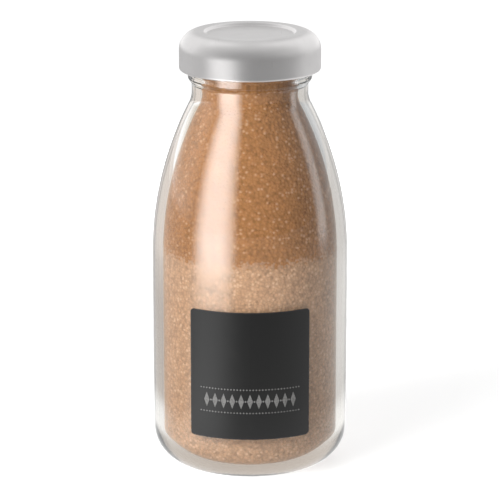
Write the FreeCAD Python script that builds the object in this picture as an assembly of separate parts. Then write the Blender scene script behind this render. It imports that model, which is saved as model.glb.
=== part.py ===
import FreeCAD, Part
import math
import os

# A small glass milk bottle with a silver twist-off lid, filled with two poured layers of a dry
# drink mix, and with a square label on the front of its barrel.
# Millimetres and degrees. The origin is the middle of the base, +Z is up and the label faces -Y.

# Glass barrel, base and shoulder
BODY_D = 62.0
BODY_H = 68.0
WALL = 3.0
HEEL_R = 11.0
BEARING_W = 3.0
PUSH_UP = 1.8
BASE_T = 3.0
FLOOR_HEEL_R = 9.0
SHOULDER_R = 108.0

# Glass mouth that takes the lid, and the neck below it
FINISH_D = 38.4
FINISH_H = 11.3
RIM_R = 1.0
BEAD_H = 4.0
BEAD_PROUD = 1.2
NECK_H = 2.6
NECK_INSET = 0.9
NECK_CURVE_R = 7.0

# Raised glass ramps that the lid's lugs hook under
LUG_COUNT = 4
RAMP_LEAD = 14.0
RAMP_SWEEP = 60.0
RAMP_DEPTH = 1.4
RAMP_CREST_T = 0.9
RAMP_ROOT_T = 1.4
RAMP_SINK = 0.4

# Lid pressed from thin sheet, with a rolled edge squashed inwards into lugs
SHEET_T = 0.28
LID_FOOT_GAP = 0.6
LID_CORNER_R = 5.5
PANEL_DROP = 0.9
STEP_RUN = 1.1
STEP_INSET = 0.6
CURL_D = 1.5
CURL_TURN = 215.0
LUG_W = 12.0
LUG_T = 1.0
LUG_RAISE = 0.2
LUG_NOSE_GAP = 0.5
LUG_LEAD_IN = 3.0

# Sealing ring inside the lid
GASKET_T = 1.0
GASKET_ROUND = 0.25

# Dry mix: heights of the border between its layers and of the space above it
LAYER_Z = 72.3
HEAD_SPACE = 10.9

# Label, measured along its own sheet
LABEL_W = 39.8
LABEL_H = 41.4
LABEL_Z = 15.5
LABEL_T = 0.10
LABEL_CORNER_R = 1.2

# Clearances between pieces
LID_CLEARANCE = 0.25
RAMP_CLEARANCE = 0.15
SEAL_GAP = 0.10
GASKET_GAP = 0.05
MIX_GAP = 0.15
GLUE_GAP = 0.08

# Sizes that follow from those above
body_r = BODY_D / 2
finish_r = FINISH_D / 2
neck_r = finish_r - NECK_INSET
bore_r = neck_r - WALL
crest_r = finish_r + RAMP_DEPTH
skirt_r = crest_r + LID_CLEARANCE + CURL_D
gasket_r = finish_r - RIM_R
step_r = bore_r - STEP_INSET

UP = FreeCAD.Vector(0, 0, 1)
ORIGIN = FreeCAD.Vector(0, 0, 0)
SAME_POINT = 1e-7


def at(r, z):
    """A point of a turned profile, r from the axis and z above the base."""
    return FreeCAD.Vector(r, 0, z)


def line(start, end):
    """A straight edge of a profile, between two points given as (r, z)."""
    return Part.LineSegment(at(*start), at(*end)).toShape()


def arc(centre, radius, start, end):
    """A circular arc of a profile, between two angles measured from outwards towards up."""

    def on_circle(angle):
        turn = math.radians(angle)
        return at(centre[0] + radius * math.cos(turn), centre[1] + radius * math.sin(turn))

    return Part.Arc(on_circle(start), on_circle((start + end) / 2), on_circle(end)).toShape()


def dome(edge_r, edge_z, height):
    """A spherical arc from the axis, at height above edge_z, out to edge_r."""
    radius = (edge_r**2 + height**2) / (2 * height)
    edge_angle = math.degrees(math.acos(edge_r / radius))
    return arc((0, edge_z + height - radius), radius, 90, edge_angle)


def ends(edge):
    """The first and last points of an edge, in the order in which it was drawn."""
    return edge.valueAt(edge.FirstParameter), edge.valueAt(edge.LastParameter)


def backwards(edges):
    """The same edges drawn the other way, last one first."""
    turned_round = []
    for edge in reversed(edges):
        start, end = ends(edge)
        middle = edge.valueAt((edge.FirstParameter + edge.LastParameter) / 2)
        if edge.Curve.TypeId == "Part::GeomLine":
            turned_round.append(Part.LineSegment(end, start).toShape())
        else:
            turned_round.append(Part.Arc(end, middle, start).toShape())
    return turned_round


def joined(pieces):
    """A closed wire through the edges in order, with straight lines across the gaps between them."""
    edges = []
    for here, following in zip(pieces, pieces[1:] + pieces[:1]):
        edges.append(here)
        start = ends(here)[1]
        end = ends(following)[0]
        if start.distanceToPoint(end) > SAME_POINT:
            edges.append(Part.LineSegment(start, end).toShape())
    return Part.Wire(edges)


def turned(pieces, sweep=360.0):
    """A solid turned about the axis from the outline that joined() makes of the edges."""
    return Part.Face(joined(pieces)).revolve(ORIGIN, UP, sweep)


def shoulder(inset):
    """The long shoulder curve and the reverse curve into the neck, set in from the outside by inset.

    Returns the two tangent arcs from the barrel up, and the height where the neck turns upright.
    """
    big_r = SHOULDER_R - inset
    small_r = NECK_CURVE_R + inset
    big = (body_r - SHOULDER_R, BODY_H)
    across = neck_r + NECK_CURVE_R - big[0]
    rise = math.sqrt((big_r + small_r) ** 2 - across**2)
    small = (big[0] + across, BODY_H + rise)
    lean = math.degrees(math.atan2(rise, across))
    return [arc(big, big_r, 0, lean), arc(small, small_r, 180 + lean, 180)], BODY_H + rise


# Heights up the neck, which starts where the shoulder's curves end
neck_z = shoulder(0)[1]
bead_z = neck_z + NECK_H
finish_z = bead_z + BEAD_H
rim_z = finish_z + FINISH_H
fill_z = rim_z - HEAD_SPACE
gasket_z = rim_z + SEAL_GAP
lid_top_z = gasket_z + GASKET_T + GASKET_GAP + SHEET_T
lid_z = finish_z + LID_FOOT_GAP

# Turning the lid once round lifts it by the lead, so heights and angles along a ramp go together
lug_top_z = lid_z + LUG_RAISE + LUG_T
ramp_z = lug_top_z + RAMP_CLEARANCE - RAMP_LEAD * LUG_LEAD_IN / 360


def hollow(inset):
    """Edges of the inside of the bottle from the floor up to the rim, set in from the glass."""
    depth = WALL + inset
    floor_z = BASE_T + inset
    floor_r = body_r - WALL - FLOOR_HEEL_R
    corner_r = FLOOR_HEEL_R - inset
    upwards, neck_start = shoulder(depth)
    edges = [dome(floor_r, floor_z, PUSH_UP)]
    edges.append(arc((floor_r, floor_z + corner_r), corner_r, -90, 0))
    edges.extend(upwards)
    edges.append(line((bore_r - inset, neck_start), (bore_r - inset, rim_z - RIM_R)))
    return edges


def bottle_glass():
    """The moulded bottle: pushed-up base, barrel, shoulder, beaded neck, rounded rim and ramps."""
    bearing_r = body_r - HEEL_R
    bead = Part.Arc(
        at(neck_r, bead_z), at(neck_r + BEAD_PROUD, bead_z + BEAD_H / 2), at(finish_r, finish_z)
    )
    outside = [dome(bearing_r - BEARING_W, 0, PUSH_UP)]
    outside.append(arc((bearing_r, HEEL_R), HEEL_R, -90, 0))
    outside.extend(shoulder(0)[0])
    outside.append(bead.toShape())
    outside.append(arc((finish_r - RIM_R, rim_z - RIM_R), RIM_R, 0, 90))
    outside.append(arc((bore_r + RIM_R, rim_z - RIM_R), RIM_R, 90, 180))
    glass = turned(outside + backwards(hollow(0)))
    return glass.fuse(around_axis(lid_ramp(), LUG_COUNT)).removeSplitter()


def lid_ramp():
    """One glass ramp on the mouth, flat below where a lug slides and sloped above."""
    root_r = finish_r - RAMP_SINK
    section = Part.makePolygon(
        [
            at(root_r, 0),
            at(crest_r, 0),
            at(crest_r, RAMP_CREST_T),
            at(root_r, RAMP_ROOT_T),
            at(root_r, 0),
        ]
    )
    helix = Part.makeHelix(RAMP_LEAD, RAMP_LEAD * RAMP_SWEEP / 360, finish_r)
    ramp = Part.Wire(helix.Edges).makePipeShell([section], True, True)
    ramp.translate(UP * ramp_z)
    return ramp


def around_axis(shape, count):
    """Copies of a shape, evenly spaced about the axis."""
    copies = []
    for number in range(count):
        copy = shape.copy()
        copy.rotate(ORIGIN, UP, 360 / count * number)
        copies.append(copy)
    return copies


def lid_shell():
    """The sheet lid: stepped panel, skirt, and a rolled edge with lugs at the foot of the skirt."""
    curl_r = CURL_D / 2
    curl = (skirt_r - curl_r, lid_z + curl_r)
    panel_r = step_r - STEP_RUN
    panel_z = lid_top_z - PANEL_DROP
    corner = (skirt_r - LID_CORNER_R, lid_top_z - LID_CORNER_R)
    outside = [
        line((0, panel_z), (panel_r, panel_z)),
        line((step_r, lid_top_z), (corner[0], lid_top_z)),
        arc(corner, LID_CORNER_R, 90, 0),
        arc(curl, curl_r, 0, -CURL_TURN),
    ]
    under_z = lid_top_z - SHEET_T
    inside = [
        arc(curl, curl_r - SHEET_T, -CURL_TURN, 0),
        arc(corner, LID_CORNER_R - SHEET_T, 0, 90),
        line((corner[0], under_z), (step_r, under_z)),
        line((panel_r, panel_z - SHEET_T), (0, panel_z - SHEET_T)),
    ]
    shell = turned(outside + inside)
    return shell.fuse(around_axis(lid_lug(), LUG_COUNT)).removeSplitter()


def lid_lug():
    """One lug, a round-nosed tongue that reaches in from the rolled edge below a ramp."""
    nose_r = LUG_T / 2
    nose = (finish_r + LUG_NOSE_GAP + nose_r, lid_z + LUG_RAISE + nose_r)
    curl_r = CURL_D / 2
    curl = (skirt_r - curl_r, lid_z + curl_r)
    root_r = skirt_r - SHEET_T / 2
    tongue = [
        arc(nose, nose_r, 270, 90),
        line((root_r, lug_top_z), (root_r, curl[1])),
        arc(curl, curl_r - SHEET_T / 2, 0, -90),
    ]
    lug = turned(tongue, LUG_W)
    lug.rotate(ORIGIN, UP, LUG_LEAD_IN)
    return lug


def lid_gasket():
    """The sealing ring that fills the lid's raised channel and lies on the rim of the glass."""
    inner_r = step_r + GASKET_GAP
    low_z = gasket_z + GASKET_ROUND
    top_z = gasket_z + GASKET_T
    follow_r = LID_CORNER_R - SHEET_T - GASKET_GAP
    corner = (skirt_r - LID_CORNER_R, top_z - follow_r)
    edge_angle = math.degrees(math.acos((gasket_r - corner[0]) / follow_r))
    section = [
        line((inner_r, top_z), (inner_r, low_z)),
        arc((inner_r + GASKET_ROUND, low_z), GASKET_ROUND, 180, 270),
        arc((gasket_r - GASKET_ROUND, low_z), GASKET_ROUND, 270, 360),
        arc(corner, follow_r, edge_angle, 90),
    ]
    return turned(section)


def poured_mix():
    """All of the dry mix, filling the bottle up to its head space."""
    inside = hollow(MIX_GAP)
    centre_z = ends(inside[0])[0].z
    filled = turned(inside + [line((0, rim_z - RIM_R), (0, centre_z))])
    return filled.common(Part.makeCylinder(body_r, fill_z))


def lower_mix(mix):
    """The pale layer, poured first."""
    return mix.common(Part.makeCylinder(body_r, LAYER_Z))


def upper_mix(mix):
    """The dark layer, poured on top of the pale one."""
    return mix.cut(Part.makeCylinder(body_r, LAYER_Z))


def front_label():
    """The square label, a thin sheet bent round the front of the barrel."""
    inner_r = body_r + GLUE_GAP
    outer_r = inner_r + LABEL_T
    half_chord = outer_r * math.sin(LABEL_W / 2 / outer_r)
    window = Part.makeBox(
        2 * half_chord, outer_r, LABEL_H, FreeCAD.Vector(-half_chord, -outer_r, LABEL_Z)
    )
    corners = [edge for edge in window.Edges if edge.BoundBox.YLength > outer_r / 2]
    window = window.makeFillet(LABEL_CORNER_R, corners)
    sleeve = Part.makeCylinder(outer_r, BODY_H).cut(Part.makeCylinder(inner_r, BODY_H))
    return sleeve.common(window)


def main():
    """Builds every piece, checks that each is one sound solid and writes it to its own file."""
    mix = poured_mix()
    pieces = {
        "bottle_glass": bottle_glass(),
        "lower_mix": lower_mix(mix),
        "upper_mix": upper_mix(mix),
        "front_label": front_label(),
        "lid_gasket": lid_gasket(),
        "lid_shell": lid_shell(),
    }
    os.makedirs("parts", exist_ok=True)
    for name, shape in pieces.items():
        box = shape.BoundBox
        print(
            f"{name}: {len(shape.Solids)} solid, valid {shape.isValid()}, {shape.Volume:.1f} mm3, "
            f"z {box.ZMin:.2f} to {box.ZMax:.2f}, x {box.XMin:.2f} to {box.XMax:.2f}"
        )
        shape.exportStep(f"parts/{name}.step")


main()
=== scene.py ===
"""Looks of a small glass milk bottle: clear glass, two layers of dry mix, a black label and a silver lid.

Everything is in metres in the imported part's own frame: the base is centred on the origin, +Z is up and
the label faces -Y.
"""

import logging
import math
from dataclasses import dataclass, field
from enum import Enum
from functools import partial
from typing import Any, Callable, Sequence

import bmesh
import bpy
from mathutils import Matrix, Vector


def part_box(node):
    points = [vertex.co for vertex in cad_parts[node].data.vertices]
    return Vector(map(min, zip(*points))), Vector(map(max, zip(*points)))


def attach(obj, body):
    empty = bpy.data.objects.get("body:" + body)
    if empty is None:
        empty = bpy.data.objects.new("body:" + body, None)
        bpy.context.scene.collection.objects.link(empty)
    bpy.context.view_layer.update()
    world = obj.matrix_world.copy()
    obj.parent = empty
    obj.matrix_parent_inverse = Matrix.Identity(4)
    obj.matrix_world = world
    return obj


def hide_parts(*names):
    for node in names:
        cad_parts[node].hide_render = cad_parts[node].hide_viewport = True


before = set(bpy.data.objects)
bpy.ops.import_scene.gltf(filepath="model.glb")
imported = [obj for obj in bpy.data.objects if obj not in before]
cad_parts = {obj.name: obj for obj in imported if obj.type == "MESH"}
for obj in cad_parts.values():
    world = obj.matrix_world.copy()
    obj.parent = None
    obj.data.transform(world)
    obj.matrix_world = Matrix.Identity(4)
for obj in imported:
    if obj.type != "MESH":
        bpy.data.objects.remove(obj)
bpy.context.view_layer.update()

LOG = logging.getLogger("bottle")
FULL_TURN = 2 * math.pi
QUARTER_TURN = math.pi / 2
MM = 0.001
SHARP_CORNER = math.radians(50)

Colour = tuple[float, float, float]
Point = tuple[float, float]
Span = tuple[float, float]
Material = bpy.types.Material
Piece = bpy.types.Object
Socket = bpy.types.NodeSocket

# Where a grain falls away, in grains from its middle.
GRAIN_EDGE: Span = (0.1, 0.8)


class Body(Enum):
    """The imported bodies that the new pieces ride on."""

    BOTTLE = "bottle"
    LID = "lid"


class Slot(Enum):
    """Material slot names, handed over with each new piece but not used."""

    GLASS = "clear_glass"
    PALE_MIX = "pale_mix"
    DARK_MIX = "dark_mix"
    LABEL = "black_label"
    LID = "silver_lid"


def node_operator(operation: str, swapped: bool = False) -> Callable[["Signal", Any], "Signal"]:
    """Makes one of a signal's operators.

    Args:
        operation: the Math node's operation.
        swapped: whether the other value comes first, as in 1 - mask.

    Returns:
        A method that takes the signal and the other value.
    """

    def calculate(signal: "Signal", other: Any) -> "Signal":
        """Adds the Math node and gives its result."""
        values = (other, signal) if swapped else (signal, other)
        return signal.sheet.calculated(operation, *values)

    return calculate


class Signal:
    """A number on a node socket, so that node maths reads as Python."""

    __add__ = node_operator("ADD")
    __radd__ = node_operator("ADD", swapped=True)
    __sub__ = node_operator("SUBTRACT")
    __rsub__ = node_operator("SUBTRACT", swapped=True)
    __mul__ = node_operator("MULTIPLY")
    __rmul__ = node_operator("MULTIPLY", swapped=True)
    __truediv__ = node_operator("DIVIDE")
    __rtruediv__ = node_operator("DIVIDE", swapped=True)
    __pow__ = node_operator("POWER")

    def __init__(self, sheet: "NodeSheet", socket: Socket) -> None:
        """Wraps one output socket of a sheet's node."""
        self.sheet = sheet
        self.socket = socket

    def __abs__(self) -> "Signal":
        """Size without sign."""
        return self.math("ABSOLUTE")

    def math(self, operation: str, *others: Any) -> "Signal":
        """A Math node's result with this number as its first input."""
        return self.sheet.calculated(operation, self, *others)

    def step(self, low: Any, high: Any) -> "Signal":
        """A smooth rise.

        Args:
            low: the value where it starts, at 0.
            high: the value where it ends, at 1.

        Returns:
            The rise at this number.
        """
        inputs = {"Value": self, "From Min": low, "From Max": high}
        node = self.sheet.node("ShaderNodeMapRange", {"interpolation_type": "SMOOTHSTEP"}, inputs)
        return self.sheet.number(node)


class NodeSheet:
    """A node tree being drawn, whose nodes all come from one method."""

    def __init__(self, tree: bpy.types.NodeTree) -> None:
        """Starts on an empty tree."""
        self.tree = tree
        tree.nodes.clear()

    def node(
        self, kind: str, settings: dict[str, Any] | None = None, inputs: dict[Any, Any] | None = None
    ) -> bpy.types.Node:
        """Adds one node.

        Args:
            kind: the node's type name.
            settings: properties to set first, such as a Math node's operation.
            inputs: values, sockets or signals for its input sockets, by name or number.

        Returns:
            The new node.
        """
        node = self.tree.nodes.new(kind)
        for name, value in (settings or {}).items():
            setattr(node, name, value)
        for key, value in (inputs or {}).items():
            if isinstance(value, Signal):
                value = value.socket
            if isinstance(value, Socket):
                self.tree.links.new(value, node.inputs[key])
            else:
                node.inputs[key].default_value = value
        return node

    def number(self, node: bpy.types.Node, output: int | str = 0) -> Signal:
        """One output of a node as a number to calculate with."""
        return Signal(self, node.outputs[output])

    def calculated(self, operation: str, *values: Any) -> Signal:
        """A Math node's result from its inputs, numbers or signals, in order."""
        return self.number(self.node("ShaderNodeMath", {"operation": operation}, dict(enumerate(values))))

    def split(self, vector: Socket) -> tuple[Signal, Signal, Signal]:
        """A vector's x, y and z."""
        node = self.node("ShaderNodeSeparateXYZ", inputs={0: vector})
        return self.number(node, 0), self.number(node, 1), self.number(node, 2)

    def joined(self, x: Any, y: Any, z: Any) -> Socket:
        """A vector from its x, y and z."""
        return self.node("ShaderNodeCombineXYZ", inputs={0: x, 1: y, 2: z}).outputs[0]

    def glow(self, colour: Any) -> Socket:
        """An emission shader of that colour, or of that grey where it is a number."""
        return self.node("ShaderNodeEmission", inputs={"Color": colour}).outputs[0]

    def noise(self, vector: Socket, size: Any, detail: float = 2.0, rough: float = 0.5) -> Signal:
        """Noise between about 0 and 1.

        Args:
            vector: the place on the piece.
            size: the width of its features in metres.
            detail: octaves of finer noise.
            rough: how strong those are.

        Returns:
            The noise value.
        """
        inputs = {"Vector": vector, "Scale": 1 / size, "Detail": detail, "Roughness": rough}
        return self.number(self.node("ShaderNodeTexNoise", inputs=inputs))

    def cells(self, vector: Socket, size: Any) -> tuple[Signal, Signal]:
        """Packed grains of about one size.

        Args:
            vector: the place on the piece.
            size: the spacing of the grains in metres.

        Returns:
            The distance from the nearest grain's middle, in grains, and a random number for that grain.
        """
        node = self.node("ShaderNodeTexVoronoi", inputs={"Vector": vector, "Scale": 1 / size})
        return self.number(node, "Distance"), self.split(node.outputs["Color"])[0]


class MaterialSheet(NodeSheet):
    """The node tree of one material."""

    def __init__(self, name: str) -> None:
        """Makes an empty material.

        Args:
            name: its name.
        """
        self.material = bpy.data.materials.new(name)
        self.material.use_nodes = True
        super().__init__(self.material.node_tree)
        self.place = self.node("ShaderNodeTexCoord").outputs["Object"]

    def mix(self, factor: Any, first: Any, second: Any) -> Socket:
        """A colour between two others.

        Args:
            factor: 0 for the first, 1 for the second.
            first: a colour, a socket or a signal.
            second: the same.

        Returns:
            The mixed colour's socket.
        """
        pair = [(*c, 1.0) if isinstance(c, tuple) else c for c in (first, second)]
        settings = {"data_type": "RGBA", "clamp_factor": True}
        return self.node("ShaderNodeMix", settings, {"Factor": factor, 6: pair[0], 7: pair[1]}).outputs[2]

    def mixed_shader(self, factor: Any, first: Socket, second: Socket) -> Socket:
        """A shader between two others, the first at a factor of 0 and the second at 1."""
        return self.node("ShaderNodeMixShader", inputs={0: factor, 1: first, 2: second}).outputs[0]

    def bump(self, height: Signal, depth: float, strength: float) -> Socket:
        """A bumped normal from a height between 0 and 1, its depth in metres and its strength."""
        inputs = {"Height": height, "Distance": depth, "Strength": strength}
        return self.node("ShaderNodeBump", inputs=inputs).outputs[0]

    def principled(self, **inputs: Any) -> Socket:
        """A Principled shader, its sockets named with underscores for spaces."""
        named = {name.replace("_", " "): value for name, value in inputs.items()}
        return self.node("ShaderNodeBsdfPrincipled", inputs=named).outputs[0]

    def finished(self, shader: Socket) -> Material:
        """Sends the shader to the output and gives the material."""
        self.node("ShaderNodeOutputMaterial", inputs={"Surface": shader})
        return self.material


class GeometrySheet(NodeSheet):
    """A Geometry Nodes tree with named inputs for its sizes."""

    def __init__(self, name: str, sizes: dict[str, float | int]) -> None:
        """Makes the tree's interface.

        Args:
            name: the tree's name.
            sizes: its named inputs with their values; whole numbers become integer inputs.
        """
        super().__init__(bpy.data.node_groups.new(name, "GeometryNodeTree"))
        self.sizes = sizes
        face = self.tree.interface
        face.new_socket("Geometry", in_out="INPUT", socket_type="NodeSocketGeometry")
        self.identifiers = {}
        for label, value in sizes.items():
            kind = "NodeSocketInt" if isinstance(value, int) else "NodeSocketFloat"
            self.identifiers[label] = face.new_socket(label, in_out="INPUT", socket_type=kind).identifier
        face.new_socket("Geometry", in_out="OUTPUT", socket_type="NodeSocketGeometry")
        self.inputs = self.node("NodeGroupInput")
        self.shape = self.inputs.outputs["Geometry"]

    def size(self, label: str) -> Signal:
        """One of the tree's named sizes."""
        return self.number(self.inputs, label)

    def place(self) -> Socket:
        """Each point's position."""
        return self.node("GeometryNodeInputPosition").outputs[0]

    def attribute(self, name: str) -> Signal:
        """A number stored on the mesh's points."""
        node = self.node("GeometryNodeInputNamedAttribute", {"data_type": "FLOAT"}, {"Name": name})
        return self.number(node, "Attribute")

    def counted_points(self) -> tuple[Socket, Signal]:
        """As many points as the size Count says, and each point's own number from 0."""
        points = self.node("GeometryNodePoints", inputs={"Count": self.size("Count")})
        return points.outputs[0], self.number(self.node("GeometryNodeInputIndex"))

    def moved(self, shape: Socket, place: Socket) -> Socket:
        """A shape with its points at other places."""
        inputs = {"Geometry": shape, "Position": place}
        return self.node("GeometryNodeSetPosition", inputs=inputs).outputs[0]

    def copies(self, points: Socket, shape: Socket, **inputs: Socket) -> Socket:
        """A shape repeated on points, with each copy's Rotation and Scale."""
        named = {"Points": points, "Instance": shape, **inputs}
        return self.node("GeometryNodeInstanceOnPoints", inputs=named).outputs[0]

    def apply(self, piece: Piece, shape: Socket, material: Material) -> None:
        """Closes the tree, runs it on a piece and leaves the result as a plain mesh.

        Args:
            piece: the object to run it on.
            shape: the geometry that the tree has made.
            material: the finish of that geometry.
        """
        real = self.node("GeometryNodeRealizeInstances", inputs={"Geometry": shape})
        inputs = {"Geometry": real.outputs[0], "Material": material}
        dressed = self.node("GeometryNodeSetMaterial", inputs=inputs)
        self.node("NodeGroupOutput", inputs={"Geometry": dressed.outputs[0]})
        modifier = piece.modifiers.new(self.tree.name, "NODES")
        modifier.node_group = self.tree
        for label, value in self.sizes.items():
            modifier[self.identifiers[label]] = value
        graph = bpy.context.evaluated_depsgraph_get()
        made = bpy.data.meshes.new_from_object(piece.evaluated_get(graph), depsgraph=graph)
        piece.modifiers.clear()
        piece.data = made


def axis_distance(x: Signal, y: Signal) -> Signal:
    """The distance of a place from the bottle's axis."""
    return (x * x + y * y) ** 0.5


def arc_points(centre: Point, radius: float, start: float, end: float, count: int) -> list[Point]:
    """Points along a circular arc of a profile.

    Args:
        centre: the arc's centre as (r, z).
        radius: its radius.
        start: first angle in degrees, from outwards towards up.
        end: last angle in degrees.
        count: number of points.

    Returns:
        The points as (r, z).
    """
    angles = [math.radians(start + (end - start) * i / (count - 1)) for i in range(count)]
    return [(centre[0] + radius * math.cos(a), centre[1] + radius * math.sin(a)) for a in angles]


def line_points(start: Point, end: Point, count: int) -> list[Point]:
    """Evenly spaced points of a straight stretch of a profile, without its two ends."""
    shares = [i / (count + 1) for i in range(1, count + 1)]
    return [(start[0] + (end[0] - start[0]) * s, start[1] + (end[1] - start[1]) * s) for s in shares]


def dome_points(edge_r: float, edge_z: float, height: float, count: int) -> list[Point]:
    """Points of a dome, part of a sphere.

    Args:
        edge_r: its radius at the edge.
        edge_z: the height of its edge.
        height: how far its middle stands above the edge.
        count: number of points.

    Returns:
        The points as (r, z), from the middle out.
    """
    radius = (edge_r**2 + height**2) / (2 * height)
    edge_angle = math.degrees(math.acos(edge_r / radius))
    points = arc_points((0.0, edge_z + height - radius), radius, 90, edge_angle, count)
    return [(0.0, edge_z + height), *points[1:]]


def even_angles(count: int) -> list[float]:
    """Angles evenly spaced round one turn."""
    return [FULL_TURN * i / count for i in range(count)]


def new_piece(name: str, data: bpy.types.ID) -> Piece:
    """Makes an object and links it into the scene.

    Args:
        name: its name.
        data: its mesh, lamp or camera.

    Returns:
        The object.
    """
    piece = bpy.data.objects.new(name, data)
    bpy.context.scene.collection.objects.link(piece)
    return piece


def finished_mesh(name: str, shape: bmesh.types.BMesh) -> bpy.types.Mesh:
    """Makes a mesh of a drawn shape.

    Args:
        name: the mesh's name.
        shape: the shape, which is used up.

    Returns:
        The mesh.
    """
    mesh = bpy.data.meshes.new(name)
    shape.to_mesh(mesh)
    shape.free()
    return mesh


def turned_mesh(name: str, outline: Sequence[Point], angles: Sequence[float]) -> bpy.types.Mesh:
    """Turns an outline about the axis into a closed, smooth mesh.

    Args:
        name: the mesh's name.
        outline: (r, z) points, of which the first and the last lie on the axis.
        angles: the angles of its columns in radians, in order, over one turn.

    Returns:
        The mesh, with its faces pointing outwards.
    """
    shape = bmesh.new()
    rings = []
    for r, z in outline:
        if r == 0.0:
            rings.append([shape.verts.new((0.0, 0.0, z))])
        else:
            rings.append([shape.verts.new((r * math.cos(a), r * math.sin(a), z)) for a in angles])
    columns = len(angles)
    for lower, upper in zip(rings, rings[1:]):
        for i in range(columns):
            j = (i + 1) % columns
            steps = ((lower, i), (lower, j), (upper, j), (upper, i))
            corners = [ring[column % len(ring)] for ring, column in steps]
            shape.faces.new(list(dict.fromkeys(corners)))
    bmesh.ops.recalc_face_normals(shape, faces=shape.faces)
    for face in shape.faces:
        face.smooth = True
    mesh = finished_mesh(name, shape)
    mesh.set_sharp_from_angle(angle=SHARP_CORNER)
    return mesh


def store_numbers(mesh: bpy.types.Mesh, name: str, rule: Callable[[Vector], float]) -> None:
    """Stores a number on each of a mesh's points, worked out from its position."""
    layer = mesh.attributes.new(name, "FLOAT", "POINT")
    layer.data.foreach_set("value", [rule(vertex.co) for vertex in mesh.vertices])


@dataclass(frozen=True)
class ClearGlass:
    """Moulded clear glass with a trace of green, and faint smears from handling."""

    tint: Colour = (0.982, 0.992, 0.986)
    bend: float = 1.5
    polish: float = 0.004
    smear_rough: float = 0.05
    smear_size: float = 22 * MM
    smear_edge: Span = (0.52, 0.75)
    shadow: Colour = (0.93, 0.94, 0.935)

    def make(self) -> Material:
        """Makes the material, which lets lamplight through to what the bottle holds."""
        sheet = MaterialSheet("clear_glass")
        smears = sheet.noise(sheet.place, self.smear_size, 3.0, 0.6).step(*self.smear_edge)
        roughness = self.polish + smears * self.smear_rough
        glass = sheet.principled(
            Base_Color=(*self.tint, 1.0), Roughness=roughness, IOR=self.bend, Transmission_Weight=1.0
        )
        clear = sheet.node("ShaderNodeBsdfTransparent", inputs={"Color": (*self.shadow, 1.0)})
        lamp = sheet.node("ShaderNodeLightPath").outputs["Is Shadow Ray"]
        return sheet.finished(sheet.mixed_shader(lamp, glass, clear.outputs[0]))


@dataclass(frozen=True)
class DryMix:
    """Dry drink mix: a pale layer below a darker one, whose grains mingle along an uneven border."""

    name: str
    border_z: float
    bore_r: float
    grain_size: float
    pale: Colour = (0.55, 0.325, 0.194)
    dark: Colour = (0.392, 0.177, 0.064)
    crystal: Colour = (0.86, 0.74, 0.58)
    crystal_share: float = 0.22
    cocoa: Colour = (0.14, 0.058, 0.023)
    cocoa_share: float = 0.32
    dust_size: float = 0.35 * MM
    clump_size: float = 3.2 * MM
    drift_size: float = 14 * MM
    grit_depth: float = 0.3 * MM
    border_wave: float = 3.2 * MM
    border_wave_size: float = 16 * MM
    border_mingle: float = 3.4 * MM
    border_soft: float = 0.6 * MM
    front_dip: float = 1.4 * MM

    def make(self) -> Material:
        """Makes the material from the place on the piece, so that both layers share one border."""
        sheet = MaterialSheet(self.name)
        _, y, z = sheet.split(sheet.place)
        far, chance = sheet.cells(sheet.place, self.grain_size)
        grains = 1 - far.step(*GRAIN_EDGE)
        dust = sheet.noise(sheet.place, self.dust_size, 2.0, 0.65)
        clumps = sheet.noise(sheet.place, self.clump_size, 3.0, 0.6)
        drifts = sheet.noise(sheet.place, self.drift_size, 2.0)
        front = (y / -self.bore_r).math("MAXIMUM", 0.0)
        wave = sheet.noise(sheet.place, self.border_wave_size, 2.0) - 0.5
        border = self.border_z - front * front * self.front_dip + wave * self.border_wave
        mingled = z - border + (chance - 0.5 + (clumps - 0.5) * 0.8) * self.border_mingle
        layer = mingled.step(-self.border_soft, self.border_soft)
        colour = sheet.mix(layer, self.pale, self.dark)
        # Grain middles are lighter and the gaps between them darker, a painted shade in the crevices; the
        # other terms are the mix's own uneven tone.
        tone = 0.54 + chance * 0.26 + grains * 0.24 + clumps * 0.3 + drifts * 0.14 + (dust - 0.5) * 0.3
        shade = sheet.node("ShaderNodeVectorMath", {"operation": "SCALE"}, {0: colour, "Scale": tone})
        crystals = grains * chance.step(0.84, 0.9)
        colour = sheet.mix(crystals * self.crystal_share, shade.outputs[0], self.crystal)
        specks = grains * (1 - chance.step(0.06, 0.12))
        colour = sheet.mix(specks * self.cocoa_share, colour, self.cocoa)
        normal = sheet.bump(grains * 0.5 + clumps * 0.4 + dust * 0.3, self.grit_depth, 0.8)
        shader = sheet.principled(
            Base_Color=colour, Roughness=0.86 + dust * 0.12, Specular_IOR_Level=0.12, Normal=normal
        )
        return sheet.finished(shader)


@dataclass(frozen=True)
class LabelPaper:
    """Matt black label paper with fine fibres, and a paler worn line along its edges."""

    ink: Colour = (0.004, 0.004, 0.004)
    worn: Colour = (0.045, 0.042, 0.04)
    worn_width: float = 0.45 * MM
    worn_wander: float = 0.5 * MM
    fibre_size: float = 0.5 * MM
    fibre_depth: float = 0.04 * MM
    cloud_size: float = 9 * MM

    def make(self) -> Material:
        """Makes the material."""
        sheet = MaterialSheet("black_label_paper")
        low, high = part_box("front_label")
        x, _, z = sheet.split(sheet.place)
        fibre = sheet.noise(sheet.place, self.fibre_size, 4.0, 0.65)
        cloud = sheet.noise(sheet.place, self.cloud_size, 3.0)
        inset = (z - low.z).math("MINIMUM", high.z - z).math("MINIMUM", high.x - abs(x))
        edge = 1 - (inset + (fibre - 0.5) * self.worn_wander).step(0.0, self.worn_width)
        colour = sheet.mix(edge * 0.7 + cloud.step(0.5, 0.8) * 0.08, self.ink, self.worn)
        normal = sheet.bump(fibre, self.fibre_depth, 0.5)
        rough = 0.34 + fibre * 0.10 + cloud * 0.06
        shader = sheet.principled(
            Base_Color=colour, Roughness=rough, Specular_IOR_Level=0.5, Normal=normal
        )
        return sheet.finished(shader)


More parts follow.
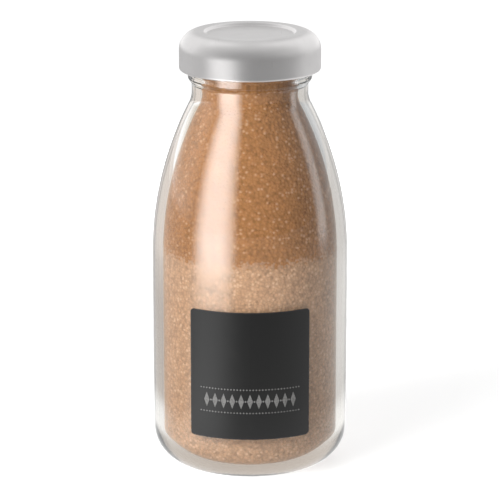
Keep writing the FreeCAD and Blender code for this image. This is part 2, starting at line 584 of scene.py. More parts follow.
@dataclass(frozen=True)
class PaleInk:
    """Thin pale print, a little uneven where the paper drank it."""

    colour: Colour = (0.21, 0.207, 0.203)
    thin: Colour = (0.11, 0.108, 0.104)
    patch_size: float = 0.6 * MM

    def make(self) -> Material:
        """Makes the material."""
        sheet = MaterialSheet("pale_ink")
        patch = sheet.noise(sheet.place, self.patch_size, 3.0, 0.6)
        colour = sheet.mix(patch.step(0.45, 0.75), self.colour, self.thin)
        return sheet.finished(sheet.principled(Base_Color=colour, Roughness=0.55 + patch * 0.15))


@dataclass(frozen=True)
class SilverSheet:
    """Satin silver lacquer on pressed sheet, with fine peel, dull clouds and hairline scuffs."""

    silver: Colour = (0.71, 0.697, 0.694)
    dull: Colour = (0.62, 0.608, 0.605)
    peel_size: float = 0.7 * MM
    peel_depth: float = 0.012 * MM
    cloud_size: float = 12 * MM
    scuff_size: float = 0.5 * MM
    scuff_stretch: tuple[float, float, float] = (1.0, 0.06, 0.3)
    scuff_turn: float = 0.6

    def make(self) -> Material:
        """Makes the material."""
        sheet = MaterialSheet("satin_silver")
        peel = sheet.noise(sheet.place, self.peel_size, 2.0)
        cloud = sheet.noise(sheet.place, self.cloud_size, 3.0)
        inputs = {0: sheet.place, "Scale": self.scuff_stretch, "Rotation": (0.0, 0.0, self.scuff_turn)}
        stretched = sheet.node("ShaderNodeMapping", inputs=inputs).outputs[0]
        scuffs = sheet.noise(stretched, self.scuff_size, 2.0).step(0.66, 0.74)
        colour = sheet.mix(cloud.step(0.35, 0.75) * 0.6 + scuffs * 0.3, self.silver, self.dull)
        rough = 0.30 + cloud * 0.08 + scuffs * 0.10 + peel * 0.04
        normal = sheet.bump(peel, self.peel_depth, 0.6)
        shader = sheet.principled(Base_Color=colour, Metallic=1.0, Roughness=rough, Normal=normal)
        return sheet.finished(shader)


@dataclass(frozen=True)
class SoftSeal:
    """Off-white sealing compound with a dimpled surface and a pressed track where the rim bears."""

    rim_r: float
    cream: Colour = (0.72, 0.69, 0.62)
    track: Colour = (0.55, 0.52, 0.46)
    track_edge: Span = (0.9 * MM, 1.5 * MM)
    dimple_size: float = 0.8 * MM
    dimple_depth: float = 0.08 * MM

    def make(self) -> Material:
        """Makes the material."""
        sheet = MaterialSheet("soft_seal")
        x, y, _ = sheet.split(sheet.place)
        pressed = 1 - abs(axis_distance(x, y) - self.rim_r).step(*self.track_edge)
        dimples = sheet.noise(sheet.place, self.dimple_size, 2.0)
        colour = sheet.mix(pressed * 0.7 + dimples * 0.2, self.cream, self.track)
        normal = sheet.bump(dimples - pressed * 0.5, self.dimple_depth, 0.6)
        shader = sheet.principled(Base_Color=colour, Roughness=0.5 + dimples * 0.2, Normal=normal)
        return sheet.finished(shader)


def aim(thing: Piece, place: Vector, target: Vector) -> None:
    """Puts a lamp or camera in its place and turns it to face the target."""
    thing.location = place
    thing.rotation_euler = (target - place).to_track_quat("-Z", "Y").to_euler()


@dataclass(frozen=True)
class Softbox:
    """One soft lamp that faces the bottle, upright where it stands low.

    Args:
        name: its name.
        azimuth: degrees round from the camera's side, positive to the right.
        distance: metres from the bottle's axis.
        low: the height of its lower edge above the floor.
        high: the height of its upper edge.
        width: metres across.
        power: watts.
    """

    name: str
    azimuth: float
    distance: float
    low: float
    high: float
    width: float
    power: float

    def build(self, target_z: float) -> Piece:
        """Makes the lamp.

        Args:
            target_z: the height on the axis that it faces, unless its foot stands below it.

        Returns:
            The lamp, out of the camera's sight.
        """
        light = bpy.data.lights.new(self.name, "AREA")
        light.shape = "RECTANGLE"
        light.size = self.width
        light.size_y = self.high - self.low
        light.energy = self.power
        lamp = new_piece(self.name, light)
        lamp.visible_camera = False
        turn = math.radians(self.azimuth)
        height = (self.low + self.high) / 2
        place = Vector((math.sin(turn) * self.distance, -math.cos(turn) * self.distance, height))
        aim(lamp, place, Vector((0.0, 0.0, height if self.low < target_z else target_z)))
        return lamp


@dataclass
class Studio:
    """The plain pale floor, the soft lamps, the white surroundings and the camera."""

    floor_r: float = 3.0
    floor_white: Colour = (0.86, 0.86, 0.86)
    floor_lift: float = 0.65
    # The floor glows in these colours only through glass: painted light and shade, darker under the base
    # and low on the left.
    left_in_glass: Colour = (0.76, 0.67, 0.60)
    painted_shade_low_left: Colour = (0.50, 0.435, 0.385)
    right_in_glass: Colour = (0.62, 0.585, 0.55)
    heel_in_glass: Colour = (0.88, 0.85, 0.81)
    painted_shade_under_base: Colour = (0.50, 0.43, 0.37)
    # The floor glows at these brightnesses only in glossy faces: painted reflections, with a painted
    # highlight pool on the key lamp's side.
    front_in_gloss: float = 0.34
    behind_in_gloss: float = 0.34
    near_in_gloss: float = 0.65
    beside_in_gloss: float = 0.35
    painted_highlight_in_gloss: float = 2.0
    painted_highlight_azimuth: float = -46.0
    surround_light: float = 0.10
    surround_in_glass: float = 1.15
    green_loss: float = 0.12
    blue_loss: float = 0.26
    target_z: float = 68.8 * MM
    distance: float = 0.90
    elevation: float = 15.0
    view_width: float = 159.7 * MM
    sensor: float = 36.0
    lamps: tuple[Softbox, ...] = (
        Softbox("key_softbox", -44.0, 0.32, 0.066, 0.386, 0.2, 1.64),
        Softbox("front_fill", 15.0, 0.2, 0.0, 0.08, 0.2, 0.06),
        Softbox("top_softbox", -140.0, 0.5, 0.7, 1.3, 0.6, 0.7),
        Softbox("back_fill", 175.0, 0.5, 0.05, 0.40, 0.3, 1.4),
    )
    cards: tuple[Softbox, ...] = (
        Softbox("left_card", -40.0, 0.18, 0.0, 0.34, 0.20, 2.7),
        Softbox("side_card", -82.0, 0.30, 0.06, 0.36, 0.26, 0.26),
        Softbox("right_card", 92.0, 0.30, 0.0, 0.40, 0.12, 0.48),
    )

    def build(self) -> None:
        """Makes the floor, the surroundings, the lamps and the camera."""
        self._floor()
        self._surroundings()
        for softbox in self.lamps:
            lamp = softbox.build(self.target_z)
            lamp.visible_glossy = False
            lamp.visible_transmission = False
        self._camera()

    def _floor(self) -> None:
        """Makes a wide round floor that stays white in view and keeps the object's shadow."""
        shape = bmesh.new()
        bmesh.ops.create_circle(shape, cap_ends=True, radius=self.floor_r, segments=96)
        mesh = finished_mesh("studio_floor", shape)
        sheet = MaterialSheet("pale_floor")
        x, y, _ = sheet.split(sheet.place)
        away = axis_distance(x, y)
        camera, through, gloss = self._ray_kinds(sheet)
        lit = sheet.node("ShaderNodeBsdfDiffuse", inputs={"Color": (*self.floor_white, 1.0)})
        lift = self.floor_lift + away.step(0.08, 0.45) * (1 - self.floor_lift)
        inputs = {0: lit.outputs[0], 1: sheet.glow(camera * lift)}
        in_view = sheet.node("ShaderNodeAddShader", inputs=inputs).outputs[0]
        # Through glass and in glossy faces the floor shows painted light and shade instead of its lit
        # white.
        shown = sheet.mix(through, self._floor_in_gloss(x, y, away), self._floor_in_glass(sheet, x, away))
        bent = gloss.math("MAXIMUM", through)
        mesh.materials.append(sheet.finished(sheet.mixed_shader(bent, in_view, sheet.glow(shown))))
        new_piece("studio_floor", mesh)

    def _floor_in_gloss(self, x: Signal, y: Signal, away: Signal) -> Signal:
        """How bright a glossy face shows the floor.

        It is a painted reflection: darker towards the camera, lighter close to the bottle and beside it
        on the right, with a bright painted highlight pool on the key lamp's side.

        Args:
            x: the place's x.
            y: the place's y.
            away: its distance from the bottle's axis.

        Returns:
            The brightness.
        """
        turn = math.radians(self.painted_highlight_azimuth)
        towards = (x * math.sin(turn) - y * math.cos(turn)) / (away + MM)
        # A painted highlight: the floor glows brightly only in glossy faces on the key lamp's side.
        painted_highlight = towards.step(0.84, 1.0) * away.step(0.045, 0.085) * (1 - away.step(0.15, 0.6) * 0.55)
        near = 1 - away.step(0.05, 0.10)
        beside = x.step(0.04, 0.14) * (1 - away.step(0.2, 0.35))
        behind = self.behind_in_gloss + x.step(-0.3, 0.3) * 0.14
        plain = self.front_in_gloss + y.step(-0.3, 0.1) * behind
        plain = plain + near * self.near_in_gloss + beside * self.beside_in_gloss
        return plain + painted_highlight * self.painted_highlight_in_gloss

    def _floor_in_glass(self, sheet: MaterialSheet, x: Signal, away: Signal) -> Socket:
        """The floor's colour through glass: under the base and the heel, and beyond on each side.

        Args:
            sheet: the floor's tree.
            x: the place's x.
            away: its distance from the bottle's axis.

        Returns:
            The colour's socket.
        """
        # The floor glows in these colours only through glass: painted shade under the base, lighter under
        # the heel, lighter on the left than on the right beyond the bottle, and painted shade low on the
        # left.
        under = sheet.mix(away.step(0.024, 0.052), self.painted_shade_under_base, self.heel_in_glass)
        beyond = sheet.mix(x.step(-0.2, 0.1), self.left_in_glass, self.right_in_glass)
        low_left_shade = (1 - away.step(0.18, 0.32)) * (1 - x.step(-0.1, 0.0))
        beyond = sheet.mix(low_left_shade, beyond, self.painted_shade_low_left)
        return sheet.mix(away.step(0.068, 0.09), under, beyond)

    @staticmethod
    def _ray_kinds(sheet: NodeSheet) -> tuple[Signal, Signal, Signal]:
        """Tells kinds of rays apart.

        Args:
            sheet: the tree that asks.

        Returns:
            Marks for rays seen by the camera, seen through glass, and mirrored in a glossy face.
        """
        path = sheet.node("ShaderNodeLightPath")
        through = sheet.number(path, "Is Transmission Ray")
        gloss = sheet.number(path, "Is Glossy Ray") * (1 - through)
        return sheet.number(path, "Is Camera Ray"), through, gloss

    def _surroundings(self) -> None:
        """Makes a white surround that lights the object softly.

        Through glass it is darker to the right and towards the camera, and darker and warmer to the left
        above the horizon.
        """
        world = bpy.data.worlds.new("studio")
        bpy.context.scene.world = world
        world.use_nodes = True
        sheet = NodeSheet(world.node_tree)
        x, y, z = sheet.split(sheet.node("ShaderNodeTexCoord").outputs["Generated"])
        camera, through, gloss = self._ray_kinds(sheet)
        right = x.step(-0.3, 0.9)
        warm = (1 - x.step(-0.6, 0.0)) * z.step(-0.05, 0.15) * through
        in_glass = (self.surround_in_glass - right * 0.75 - warm * 0.5) * (0.1 + y.step(-0.3, 0.3) * 0.9)
        in_gloss = self._surround_in_gloss(x, y, z, right)
        light = (1 - camera) * (1 - through) * (1 - gloss)
        strength = camera + through * in_glass + gloss * in_gloss + light * self.surround_light
        tint = sheet.joined(1.0, 1 - warm * self.green_loss, 1 - warm * self.blue_loss)
        back = sheet.node("ShaderNodeBackground", inputs={"Color": tint, "Strength": strength})
        sheet.node("ShaderNodeOutputWorld", inputs={"Surface": back.outputs[0]})

    @staticmethod
    def _surround_in_gloss(x: Signal, y: Signal, z: Signal, right: Signal) -> Signal:
        """How bright a glossy face shows the surround.

        It is darker towards the camera and low on the right, and lighter along the horizon behind the
        bottle and to both sides of it.

        Args:
            x: the direction's x.
            y: its y, away from the camera.
            z: its z.
            right: how far it points to the right.

        Returns:
            The brightness.
        """
        low = 1 - z.step(-0.05, 0.38)
        plain = (0.42 + y.step(-1.05, -0.1) * 0.33) * (1 - right * low * 0.2)
        horizon = y.step(0.7, 0.93) * (1 - z.step(0.08, 0.24))
        sides = abs(x).step(0.03, 0.3) * y.step(-0.2, 0.4)
        return plain + horizon * 0.4 + sides * 0.45

    def shine_on(self, piece: Piece) -> None:
        """Adds soft-edged cards that show only as streaks of shine.

        Args:
            piece: the one piece that they shine on.
        """
        only = bpy.data.collections.new("shining_piece")
        only.objects.link(piece)
        for softbox in self.cards:
            card = softbox.build(self.target_z)
            card.visible_diffuse = False
            card.visible_transmission = False
            card.light_linking.receiver_collection = only
            card.data.use_nodes = True
            sheet = NodeSheet(card.data.node_tree)
            across, along, _ = sheet.split(sheet.node("ShaderNodeNewGeometry").outputs["Parametric"])
            soft = across.step(0.0, 0.4) * (1 - across.step(0.6, 1.0))
            soft = soft * along.step(0.0, 0.17) * (1 - along.step(0.83, 1.0))
            sheet.node("ShaderNodeOutputLight", inputs={"Surface": sheet.glow(soft)})

    def _camera(self) -> None:
        """Makes the camera, square on to the label and a little above it."""
        lens = bpy.data.cameras.new("camera")
        lens.sensor_width = self.sensor
        lens.lens = self.sensor * self.distance / self.view_width
        lens.clip_start = 0.01
        lens.clip_end = 20.0
        camera = new_piece("camera", lens)
        rise = math.radians(self.elevation)
        target = Vector((0.0, 0.0, self.target_z))
        away = Vector((0.0, -math.cos(rise), math.sin(rise)))
        aim(camera, target + away * self.distance, target)
        bpy.context.scene.camera = camera


def hand_over(piece: Piece, body: Body, slot: Slot, *nodes: str) -> None:
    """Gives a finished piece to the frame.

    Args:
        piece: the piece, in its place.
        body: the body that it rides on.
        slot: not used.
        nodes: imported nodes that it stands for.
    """
    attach(piece, body.value)
    if nodes:
        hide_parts(*nodes)
    LOG.info("%s rides on %s, %d faces", piece.name, body.value, len(piece.data.polygons))


def dress_node(node: str, material: Material) -> None:
    """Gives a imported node, kept as it is, its finish.

    Args:
        node: the node's name.
        material: the finish.
    """
    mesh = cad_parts[node].data
    mesh.materials.clear()
    mesh.materials.append(material)
    LOG.info("%s keeps its own shape, dressed in %s", node, material.name)


@dataclass
class GlassBottle:
    """The moulded glass: pushed-up base, barrel, shoulder, beaded neck, rim and lid ramps."""

    body_h: float = 68.0 * MM
    wall: float = 3.0 * MM
    heel_r: float = 11.0 * MM
    bearing_w: float = 3.0 * MM
    push_up: float = 1.8 * MM
    base_t: float = 3.0 * MM
    floor_heel_r: float = 9.0 * MM
    shoulder_r: float = 108.0 * MM
    finish_r: float = 19.2 * MM
    finish_h: float = 11.3 * MM
    rim_round: float = 1.0 * MM
    bead_h: float = 4.0 * MM
    bead_proud: float = 0.75 * MM
    neck_inset: float = 0.9 * MM
    neck_curve_r: float = 7.0 * MM
    ramp_above_lid_foot: float = 1.233 * MM
    ramp_soft: float = 0.16 * MM
    columns: int = 240
    body_r: float = field(init=False)
    rim_z: float = field(init=False)

    def __post_init__(self) -> None:
        """Reads the barrel's radius and the rim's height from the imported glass."""
        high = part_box("bottle_glass")[1]
        self.body_r = high.x
        self.rim_z = high.z

    @property
    def neck_r(self) -> float:
        """The neck's outside radius."""
        return self.finish_r - self.neck_inset

    @property
    def bore_r(self) -> float:
        """The mouth's inside radius."""
        return self.neck_r - self.wall

    @property
    def finish_z(self) -> float:
        """The foot of the wall that the lid covers."""
        return self.rim_z - self.finish_h

    def shoulder(self, inset: float, rows: int) -> list[Point]:
        """Points of the shoulder curve and the reverse curve into the neck.

        Args:
            inset: how far inside the outer face they lie.
            rows: points on the long curve; the short one has half as many.

        Returns:
            The points from the barrel up to the neck.
        """
        big_r = self.shoulder_r - inset
        small_r = self.neck_curve_r + inset
        big = (self.body_r - self.shoulder_r, self.body_h)
        across = self.neck_r + self.neck_curve_r - big[0]
        rise = math.sqrt((big_r + small_r) ** 2 - across**2)
        lean = math.degrees(math.atan2(rise, across))
        lower = arc_points(big, big_r, 0, lean, rows)
        small = (big[0] + across, self.body_h + rise)
        upper = arc_points(small, small_r, 180 + lean, 180, rows // 2)
        return lower + upper[1:]

    def hollow(self, inset: float, rows: int) -> list[Point]:
        """Points of the inside, from the middle of the floor up to the neck.

        Args:
            inset: how far they are set in from the glass.
            rows: points on the barrel and on the shoulder.

        Returns:
            The points in order.
        """
        floor_z = self.base_t + inset
        floor_r = self.body_r - self.wall - self.floor_heel_r
        corner_r = self.floor_heel_r - inset
        points = dome_points(floor_r, floor_z, self.push_up, 12)
        points += arc_points((floor_r, floor_z + corner_r), corner_r, -90, 0, 12)[1:]
        points += line_points(points[-1], (points[-1][0], self.body_h), rows)
        return points + self.shoulder(self.wall + inset, rows)

    def outline(self) -> list[Point]:
        """The whole section of the glass, from the base's middle round to the floor's middle."""
        bearing_r = self.body_r - self.heel_r
        points = dome_points(bearing_r - self.bearing_w, 0.0, self.push_up, 14)
        points += line_points(points[-1], (bearing_r, 0.0), 6)
        points += arc_points((bearing_r, self.heel_r), self.heel_r, -90, 0, 18)
        points += line_points((self.body_r, self.heel_r), (self.body_r, self.body_h), 14)
        points += self.shoulder(0.0, 34)
        points += self._mouth(points[-1][1])
        inside = self.hollow(0.0, 40)
        points += line_points(points[-1], inside[-1], 8)
        return points + inside[::-1]

    def _mouth(self, neck_z: float) -> list[Point]:
        """Points of the neck, its bead, the wall under the lid and the rounded rim.

        Args:
            neck_z: the height where the shoulder ends.

        Returns:
            The points from there up and over the rim.
        """
        bead_z = self.finish_z - self.bead_h
        points = line_points((self.neck_r, neck_z), (self.neck_r, bead_z), 4)
        rows = 18
        for i in range(rows + 1):
            share = i / rows
            swell = 0.5 - 0.5 * math.cos(FULL_TURN * share)
            r = self.neck_r + self.neck_inset * share + self.bead_proud * swell
            points.append((r, bead_z + self.bead_h * share))
        top = self.rim_z - self.rim_round
        points += line_points((self.finish_r, self.finish_z), (self.finish_r, top), 56)
        points += arc_points((self.finish_r - self.rim_round, top), self.rim_round, 0, 90, 8)
        points += arc_points((self.bore_r + self.rim_round, top), self.rim_round, 90, 180, 8)
        return points

    def column_angles(self) -> list[float]:
        """Evenly spaced columns, with more of them beside the two mould seams."""
        angles = even_angles(self.columns)
        near = [math.radians(a) for a in (0.3, 0.6, 0.95)]
        for seam in (0.0, math.pi):
            angles += [(seam + side * a) % FULL_TURN for a in near for side in (-1, 1)]
        return sorted(angles)

    def build(self, material: Material) -> Piece:
        """Makes the glass and its moulded relief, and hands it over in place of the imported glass.

        Args:
            material: its finish.

        Returns:
            The finished piece.
        """
        mesh = turned_mesh("glass", self.outline(), self.column_angles())
        store_numbers(mesh, "on_finish", self._on_finish)
        store_numbers(mesh, "on_outside", partial(self._on_outside, self.shoulder(self.wall / 2, 40)))
        piece = new_piece("moulded_glass", mesh)
        self._relief(piece, material)
        hand_over(piece, Body.BOTTLE, Slot.GLASS, "bottle_glass")
        return piece

    def _on_finish(self, place: Vector) -> float:
        """1 for a point on the outside of the wall under the lid, and 0 for any other."""
        return float(place.z > self.finish_z and place.xy.length > self.finish_r - 0.5 * MM)

    def _on_outside(self, middle: list[Point], place: Vector) -> float:
        """1 for a point outside the middle of the wall, and 0 for one inside it.

        Args:
            middle: points up the middle of the shoulder's wall and the neck's.
            place: the point's place.

        Returns:
            The mark, which is always 1 under the floor.
        """
        if place.z < self.base_t:
            return 1.0
        below = [r for r, z in middle if z <= place.z]
        limit = below[-1] if below else middle[0][0]
        return float(place.xy.length > limit)

    def _relief(self, piece: Piece, material: Material) -> None:
        """Raises the lid ramps, the mould seams, the base's knurling and a slight wave in the glass.

        Args:
            piece: the turned glass.
            material: its finish.
        """
        sizes = {
            "Ramp count": 4,
            "Ramp lead": 14.0 * MM,
            "Ramp sweep": 60.0 / 360.0,
            "Ramp height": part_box("lid_shell")[0].z + self.ramp_above_lid_foot,
            "Ramp depth": 1.4 * MM,
            "Ramp crest": 0.9 * MM,
            "Ramp root": 1.35 * MM,
            "Seam width": 0.42 * MM,
            "Seam height": 0.07 * MM,
            "Knurl count": 80,
            "Knurl depth": 0.16 * MM,
            "Wave size": 24.0 * MM,
            "Wave height": 0.05 * MM,
        }
        sheet = GeometrySheet("glass_relief", sizes)
        place = sheet.place()
        x, y, z = sheet.split(place)
        radius = axis_distance(x, y)
        turn = y.math("ARCTAN2", x) / FULL_TURN
        above = z.step(2 * MM, 6 * MM)
        seam = 1 - abs(y).step(0.0, sheet.size("Seam width"))
        wave = sheet.noise(place, sheet.size("Wave size"), 1.0)
        out = self._ramps(sheet, turn, z) * sheet.attribute("on_finish") * sheet.size("Ramp depth")
        out = out + seam * sheet.attribute("on_outside") * above * sheet.size("Seam height")
        out = out + (wave - 0.5) * sheet.size("Wave height") * above
        bearing = self.body_r - self.heel_r - self.bearing_w / 2
        ring = 1 - abs(radius - bearing).step(self.bearing_w * 0.4, self.bearing_w * 0.7)
        ring = ring * (1 - z.step(0.3 * MM, 1.0 * MM))
        knurl = (turn * sheet.size("Knurl count") * FULL_TURN).math("COSINE")
        lift = (0.5 + knurl * 0.5) * ring * sheet.size("Knurl depth")
        wider = 1 + out / (radius + 0.01 * MM)
        moved = sheet.moved(sheet.shape, sheet.joined(x * wider, y * wider, z + lift))
        sheet.apply(piece, moved, material)

    def _ramps(self, sheet: GeometrySheet, turn: Signal, z: Signal) -> Signal:
        """The lid ramps' height in relief, from 0 to 1.

        Args:
            sheet: the tree, with the ramps' sizes.
            turn: the point's angle in turns.
            z: its height.

        Returns:
            The relief.
        """
        first_end = 0.008
        last_end = 0.012
        count = sheet.size("Ramp count")
        sweep = sheet.size("Ramp sweep")
        along = (turn * count).math("FRACT") / count
        height = z - sheet.size("Ramp height") - sheet.size("Ramp lead") * along
        back = 1 - height.step(sheet.size("Ramp crest"), sheet.size("Ramp root"))
        ramp = height.step(-self.ramp_soft, self.ramp_soft) * back
        return ramp * along.step(0.0, first_end) * (1 - along.step(sweep - last_end, sweep))


@dataclass
class Filling:
    """The dry mix: a pale layer, a dark layer on top of it, and loose grains against the glass."""

    glass: GlassBottle
    gap: float = 0.15 * MM
    grain_size: float = 0.9 * MM
    heap_size: float = 9 * MM
    columns: int = 390
    rows: int = 116
    flat_rows: int = 16
    loose_per_m2: float = 110000.0

    def build(self) -> None:
        """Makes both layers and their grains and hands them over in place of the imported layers."""
        low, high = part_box("upper_mix")
        mouth_r = self.glass.bore_r - self.gap
        wall = self.glass.hollow(self.gap, self.rows)
        wall.append((mouth_r, self.glass.rim_z))
        border = self._flat(self._radius_at(wall, low.z), low.z)
        pale = [p for p in wall if p[1] < low.z - MM] + border
        dark = border[::-1] + [p for p in wall if low.z + MM < p[1] < high.z - MM]
        dark += self._flat(mouth_r, high.z)
        self._layer("pale_layer", pale, Slot.PALE_MIX, "lower_mix", low.z)
        self._layer("dark_layer", dark, Slot.DARK_MIX, "upper_mix", low.z)

    @staticmethod
    def _radius_at(wall: list[Point], z: float) -> float:
        """The radius of a rising outline at a height, between its two nearest points.

        Args:
            wall: the outline.
            z: the height.

        Returns:
            The radius.

        Raises:
            ValueError: the outline does not reach that height.
        """
        for (low_r, low_z), (high_r, high_z) in zip(wall, wall[1:]):
            if low_z <= z <= high_z:
                return low_r + (high_r - low_r) * (z - low_z) / (high_z - low_z)
        raise ValueError(f"the outline does not reach {z}")

    def _flat(self, radius: float, z: float) -> list[Point]:
        """Points across a level face, from its edge to the axis."""
        return [(radius * (1 - i / self.flat_rows), z) for i in range(self.flat_rows)] + [(0.0, z)]

    def _layer(self, name: str, outline: list[Point], slot: Slot, node: str, border_z: float) -> None:
        """Makes one layer with a lumpy surface, and its grains.

        Args:
            name: its name.
            outline: its section, from the axis round to the axis.
            slot: its material slot.
            node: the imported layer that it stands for.
            border_z: the height where the two layers meet.
        """
        material = DryMix(name, border_z, self.glass.body_r - self.glass.wall, self.grain_size).make()
        piece = new_piece(name, turned_mesh(name, outline, even_angles(self.columns)))
        self._lumps(piece, material)
        hand_over(piece, Body.BOTTLE, slot, node)
        self._grains(name, piece, material, slot)

    def _lumps(self, piece: Piece, material: Material) -> None:
        """Dents a layer's faces between its grains and clumps, and heaps the open top a little.

        Args:
            piece: the turned layer.
            material: its finish.
        """
        sizes = {
            "Grain size": self.grain_size,
            "Grain depth": 0.14 * MM,
            "Lump size": 3.0 * MM,
            "Lump depth": 0.16 * MM,
            "Top depth": 1.1 * MM,
            "Top height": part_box("upper_mix")[1].z,
            "Top radius": self.glass.bore_r,
        }
        sheet = GeometrySheet(f"{piece.name}_lumps", sizes)
        place = sheet.place()
        x, y, z = sheet.split(place)
        radius = axis_distance(x, y)
        lumps = sheet.noise(place, sheet.size("Lump size"), 3.0, 0.6)
        heaps = sheet.noise(place, self.heap_size, 2.0)
        far, _ = sheet.cells(place, sheet.size("Grain size"))
        dents = far.step(*GRAIN_EDGE) * sheet.size("Grain depth") + lumps * sheet.size("Lump depth")
        inwards = 1 - dents / (radius + MM)
        on_top = (z - sheet.size("Top height")).step(-0.5 * MM, -0.1 * MM)
        on_top = on_top * (1 - (radius - sheet.size("Top radius")).step(-2 * MM, -0.3 * MM))
        drop = on_top * sheet.size("Top depth") * (heaps * 0.9 + lumps * 0.5 - 0.45)
        moved = sheet.moved(sheet.shape, sheet.joined(x * inwards, y * inwards, z - drop))
        sheet.apply(piece, moved, material)

    def _grains(self, name: str, layer: Piece, material: Material, slot: Slot) -> None:
        """Scatters flattened grains over a layer's faces.

        Args:
            name: the layer's name.
            layer: the finished layer.
            material: the grains' finish.
            slot: the material slot of that finish.
        """
        sizes = {"Density": self.loose_per_m2, "Seed": 7, "Grain size": 0.16 * MM}
        sheet = GeometrySheet(f"{name}_grains", sizes)
        seed = sheet.size("Seed")
        spread = sheet.node(
            "GeometryNodeDistributePointsOnFaces",
            inputs={"Mesh": sheet.shape, "Density": sheet.size("Density"), "Seed": seed},
        ).outputs
        grain = sheet.node(
            "GeometryNodeMeshIcoSphere", inputs={"Radius": sheet.size("Grain size"), "Subdivisions": 1}
        ).outputs["Mesh"]
        smallest = (0.6, 0.6, 0.35)
        largest = (1.6, 1.4, 0.7)
        scale = sheet.node(
            "FunctionNodeRandomValue",
            {"data_type": "FLOAT_VECTOR"},
            {0: smallest, 1: largest, "Seed": seed},
        ).outputs[0]
        placed = sheet.copies(spread["Points"], grain, Rotation=spread["Rotation"], Scale=scale)
        piece = new_piece(f"{name}_grains", layer.data.copy())
        sheet.apply(piece, placed, material)
        hand_over(piece, Body.BOTTLE, slot)


@dataclass(frozen=True)
class OrnamentRow:
    """One row of a plain repeating border: many-sided flat spots along the label."""

    count: int
    pitch: float
    height: float
    sides: int
    half_width: float
    half_height: float


@dataclass
class FrontLabel:
    """The black label and a plain printed border of lozenges and dots in its lower part."""

    print_t: float = 0.03 * MM
    rows: tuple[OrnamentRow, ...] = (
        OrnamentRow(11, 2.8 * MM, 28.0 * MM, 4, 0.9 * MM, 2.4 * MM),
        OrnamentRow(10, 2.8 * MM, 28.0 * MM, 12, 0.3 * MM, 0.3 * MM),
        OrnamentRow(33, 1.0 * MM, 31.8 * MM, 12, 0.24 * MM, 0.24 * MM),
        OrnamentRow(33, 1.0 * MM, 24.2 * MM, 12, 0.24 * MM, 0.24 * MM),
    )

    def build(self) -> None:
        """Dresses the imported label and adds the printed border."""
        dress_node("front_label", LabelPaper().make())
        ink = PaleInk().make()
        for number, row in enumerate(self.rows, 1):
            self._row(f"label_border_{number}", row, ink)

    def _row(self, name: str, row: OrnamentRow, ink: Material) -> None:
        """Makes one row of the border, bent round the barrel.

        Args:
            name: its name.
            row: its spots and their places.
            ink: its finish.
        """
        sizes = {
            "Count": row.count,
            "Pitch": row.pitch,
            "Height": row.height,
            "Half width": row.half_width,
            "Half height": row.half_height,
            "Radius": -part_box("front_label")[0].y + self.print_t / 2,
            "Thickness": self.print_t,
        }
        sheet = GeometrySheet(name, sizes)
        radius = sheet.size("Radius")
        points, index = sheet.counted_points()
        angle = (index - (sheet.size("Count") - 1) / 2) * sheet.size("Pitch") / radius
        across = radius * angle.math("SINE")
        outwards = radius * angle.math("COSINE") * -1
        places = sheet.moved(points, sheet.joined(across, outwards, sheet.size("Height")))
        disc = sheet.node(
            "GeometryNodeMeshCylinder", inputs={"Vertices": row.sides, "Radius": 1.0, "Depth": 1.0}
        ).outputs["Mesh"]
        inputs = {"Geometry": disc, "Rotation": (QUARTER_TURN, 0.0, 0.0)}
        upright = sheet.node("GeometryNodeTransform", inputs=inputs).outputs[0]
        scale = sheet.joined(sheet.size("Half width"), sheet.size("Thickness"), sheet.size("Half height"))
        spots = sheet.copies(places, upright, Rotation=sheet.joined(0.0, 0.0, angle), Scale=scale)
        piece = new_piece(name, bpy.data.meshes.new(name))
        sheet.apply(piece, spots, ink)
        hand_over(piece, Body.BOTTLE, Slot.LABEL)


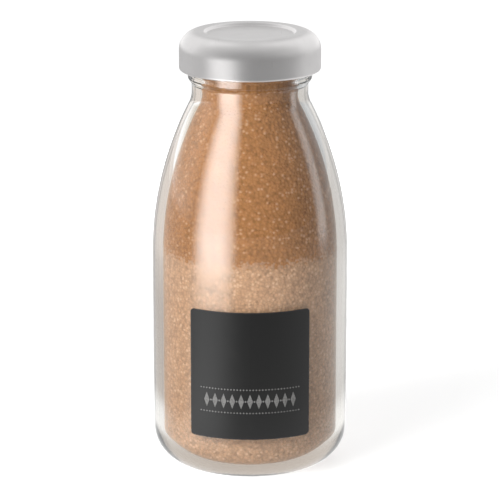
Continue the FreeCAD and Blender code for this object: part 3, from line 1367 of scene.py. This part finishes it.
@dataclass
class TwistLid:
    """The pressed silver lid, its lugs, and the sealing ring inside it."""

    glass: GlassBottle
    sheet_t: float = 0.28 * MM
    corner_r: float = 5.5 * MM
    panel_drop: float = 0.9 * MM
    step_inset: float = 0.6 * MM
    step_run: float = 1.1 * MM
    step_rows: int = 12
    curl_d: float = 1.5 * MM
    curl_turn: float = 215.0
    lug_count: int = 4
    lug_nose_gap: float = 0.5 * MM
    lug_t: float = 1.0 * MM
    lug_raise: float = 0.2 * MM
    lug_width: float = 12.0
    lug_start: float = 3.0
    lug_rows: int = 8
    columns: int = 240

    def build(self) -> None:
        """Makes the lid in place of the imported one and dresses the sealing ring."""
        silver = SilverSheet().make()
        low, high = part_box("lid_shell")
        outline = self._section(high.x, low.z, high.z)
        piece = new_piece("silver_lid", turned_mesh("silver_lid", outline, even_angles(self.columns)))
        piece.data.materials.append(silver)
        hand_over(piece, Body.LID, Slot.LID, "lid_shell")
        self._lugs(self._lug_mesh(high.x, low.z), silver)
        rim_r = (self.glass.bore_r + self.glass.finish_r) / 2
        dress_node("lid_gasket", SoftSeal(rim_r).make())

    def _section(self, skirt_r: float, foot_z: float, top_z: float) -> list[Point]:
        """The lid's sheet in section.

        Args:
            skirt_r: the skirt's outside radius.
            foot_z: the height of the rolled edge's foot.
            top_z: the height of the lid's top.

        Returns:
            An outline that starts and ends on the axis.
        """
        half = self.sheet_t / 2
        crest_z = top_z - half
        panel_z = crest_z - self.panel_drop
        curl_r = self.curl_d / 2
        curl = (skirt_r - curl_r, foot_z + curl_r)
        corner = (skirt_r - self.corner_r, top_z - self.corner_r)
        panel_r = self.glass.bore_r - self.step_inset - self.step_run
        middle = [(0.0, panel_z)]
        middle += line_points(middle[-1], (panel_r, panel_z), 14)
        for i in range(self.step_rows + 1):
            share = i / self.step_rows
            rise = 0.5 - 0.5 * math.cos(math.pi * share)
            middle.append((panel_r + self.step_run * share, panel_z + self.panel_drop * rise))
        middle += line_points(middle[-1], (corner[0], crest_z), 8)
        middle += arc_points(corner, self.corner_r - half, 90, 0, 12)
        middle += line_points(middle[-1], (skirt_r - half, curl[1]), 14)
        middle += arc_points(curl, curl_r - half, 0, -self.curl_turn, 24)
        return self._thickened(middle, half)

    @staticmethod
    def _thickened(middle: list[Point], half: float) -> list[Point]:
        """A thin sheet's outline, along one of its faces and back along the other.

        Args:
            middle: its middle line, from the axis.
            half: half its thickness.

        Returns:
            The outline's points.
        """
        outer, inner = [], []
        for i, (r, z) in enumerate(middle):
            before = middle[max(i - 1, 0)]
            after = middle[min(i + 1, len(middle) - 1)]
            along = Vector((after[0] - before[0], after[1] - before[1])).normalized()
            outer.append((r - along.y * half, z + along.x * half))
            inner.append((r + along.y * half, z - along.x * half))
        outer[0] = (0.0, outer[0][1])
        inner[0] = (0.0, inner[0][1])
        return outer + inner[::-1]

    def _lug_mesh(self, skirt_r: float, foot_z: float) -> bpy.types.Mesh:
        """One lug, a tongue squashed in from the rolled edge, as a mesh.

        Args:
            skirt_r: the skirt's outside radius.
            foot_z: the height of the rolled edge's foot.

        Returns:
            The mesh.
        """
        nose_r = self.lug_t / 2
        nose = (self.glass.finish_r + self.lug_nose_gap + nose_r, foot_z + self.lug_raise + nose_r)
        half = self.sheet_t / 2
        curl_r = self.curl_d / 2
        curl = (skirt_r - curl_r, foot_z + curl_r)
        section = arc_points(nose, nose_r, 270, 90, 10)
        section.append((skirt_r - half, nose[1] + nose_r))
        section.append((skirt_r - half, curl[1]))
        section += arc_points(curl, curl_r - half, 0, -90, 6)[1:]
        shape = bmesh.new()
        rings = []
        for i in range(self.lug_rows + 1):
            angle = math.radians(self.lug_start + self.lug_width * i / self.lug_rows)
            across, back = math.cos(angle), math.sin(angle)
            rings.append([shape.verts.new((r * across, r * back, z)) for r, z in section])
        for here, there in zip(rings, rings[1:]):
            for i in range(len(section)):
                j = (i + 1) % len(section)
                shape.faces.new((here[i], here[j], there[j], there[i]))
        shape.faces.new(rings[0])
        shape.faces.new(rings[-1])
        bmesh.ops.recalc_face_normals(shape, faces=shape.faces)
        return finished_mesh("lid_lugs", shape)

    def _lugs(self, lug: bpy.types.Mesh, silver: Material) -> None:
        """Repeats one lug round the lid and hands the lugs over.

        Args:
            lug: the lug's mesh.
            silver: its finish.
        """
        piece = new_piece("lid_lugs", lug)
        sheet = GeometrySheet("lid_lugs", {"Count": self.lug_count})
        points, index = sheet.counted_points()
        turn = sheet.joined(0.0, 0.0, index * FULL_TURN / sheet.size("Count"))
        sheet.apply(piece, sheet.copies(points, sheet.shape, Rotation=turn), silver)
        hand_over(piece, Body.LID, Slot.LID)


def main() -> None:
    """Builds the studio and the bottle's pieces in order."""
    logging.basicConfig(level=logging.INFO, format="%(name)s: %(message)s")
    bpy.context.scene.view_settings.view_transform = "Standard"
    studio = Studio()
    studio.build()
    glass = GlassBottle()
    studio.shine_on(glass.build(ClearGlass().make()))
    Filling(glass).build()
    FrontLabel().build()
    TwistLid(glass).build()


if __name__ == "__main__":
    main()
